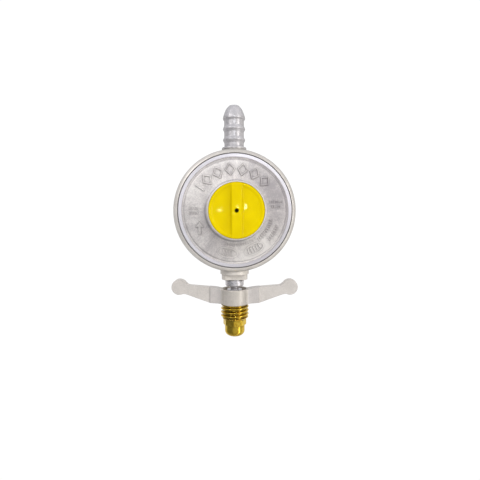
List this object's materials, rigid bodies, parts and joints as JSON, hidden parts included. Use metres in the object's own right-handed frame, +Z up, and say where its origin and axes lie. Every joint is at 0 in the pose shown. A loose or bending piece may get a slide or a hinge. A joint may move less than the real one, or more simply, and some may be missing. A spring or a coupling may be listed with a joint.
{
  "type": "low-pressure gas regulator",
  "caption": "Round die-cast diaphragm gas regulator with ribbed hose outlet, spring tower with push-in cap, rolled rim and wing-nut inlet coupling.",
  "frame": {"origin": "centre of the flat back face of the body, on the axis of the diaphragm", "axes": "+Z up along the flow axis towards the hose outlet, +Y out of the flat back, the cap faces -Y, +X to the right when seen from the front"},
  "size_m": [0.072, 0.035, 0.13],
  "materials": {
    "cast_zinc": "tumbled die-cast zinc, satin",
    "cast_zinc_face": "die-cast zinc, bright face with a turned ring",
    "yellow_plastic": "glossy moulded plastic",
    "brass": "bright machined",
    "plated_steel": "zinc plated, bluish",
    "spring_steel": "drawn wire",
    "aluminium": "pressed sheet",
    "rubber": "matt nitrile",
    "bronze_mesh": "sintered"
  },
  "bodies": {
    "regulator": {"body": "cast_zinc", "cover": "cast_zinc_face", "main_spring": "spring_steel", "diaphragm": "rubber", "lever_pin": "spring_steel", "orifice": "brass", "nipple_gasket": "rubber", "inlet_nipple": "plated_steel", "nose": "brass", "inlet_filter": "bronze_mesh"},
    "vent_cap": {"cap": "yellow_plastic"},
    "seat": {"spring_seat": "plated_steel"},
    "screw": {"adjusting_screw": "brass"},
    "diaphragm_group": {"stem_nut": "brass", "diaphragm_plate": "aluminium", "backing_washer": "plated_steel", "diaphragm_stem": "cast_zinc"},
    "valve_lever": {"lever": "plated_steel"},
    "plunger": {"valve_plunger": "brass", "valve_pad": "rubber"},
    "washer": {"slip_washer": "plated_steel"},
    "coupling_nut": {"wing_nut": "cast_zinc", "threaded_sleeve": "brass"}
  },
  "joints": [
    {"name": "cap_pull", "type": "slide", "parent": "regulator", "child": "vent_cap", "axis": [0, -1, 0], "range_m": [0, 0.012]},
    {"name": "seat_travel", "type": "slide", "parent": "regulator", "child": "seat", "axis": [0, -1, 0], "range_m": [-0.001, 0.001], "deforming": ["main_spring"]},
    {"name": "screw_turn", "type": "hinge", "parent": "seat", "child": "screw", "pos_m": [0, -0.0277, 0], "axis": [0, -1, 0], "range_deg": [-240, 240]},
    {"name": "diaphragm_stroke", "type": "slide", "parent": "regulator", "child": "diaphragm_group", "axis": [0, -1, 0], "range_m": [-0.0012, 0.0012], "deforming": ["main_spring", "diaphragm"]},
    {"name": "lever_swing", "type": "hinge", "parent": "regulator", "child": "valve_lever", "pos_m": [0, -0.005, -0.017], "axis": [1, 0, 0], "range_deg": [-4.05, 4.05]},
    {"name": "plunger_lift", "type": "slide", "parent": "regulator", "child": "plunger", "axis": [0, 0, 1], "range_m": [-0.00039, 0.00039]},
    {"name": "nut_play", "type": "slide", "parent": "regulator", "child": "washer", "axis": [0, 0, 1], "range_m": [0, 0.0017]},
    {"name": "nut_spin", "type": "hinge", "parent": "washer", "child": "coupling_nut", "pos_m": [0, -0.0105, -0.0466], "axis": [0, 0, 1], "continuous": true}
  ],
  "couplings": [
    {"joint": "seat_travel", "follows": "screw_turn", "m_per_rad": 0.00023873},
    {"joint": "lever_swing", "follows": "diaphragm_stroke", "rad_per_m": 58.824},
    {"joint": "plunger_lift", "follows": "diaphragm_stroke", "ratio": -0.32353}
  ]
}
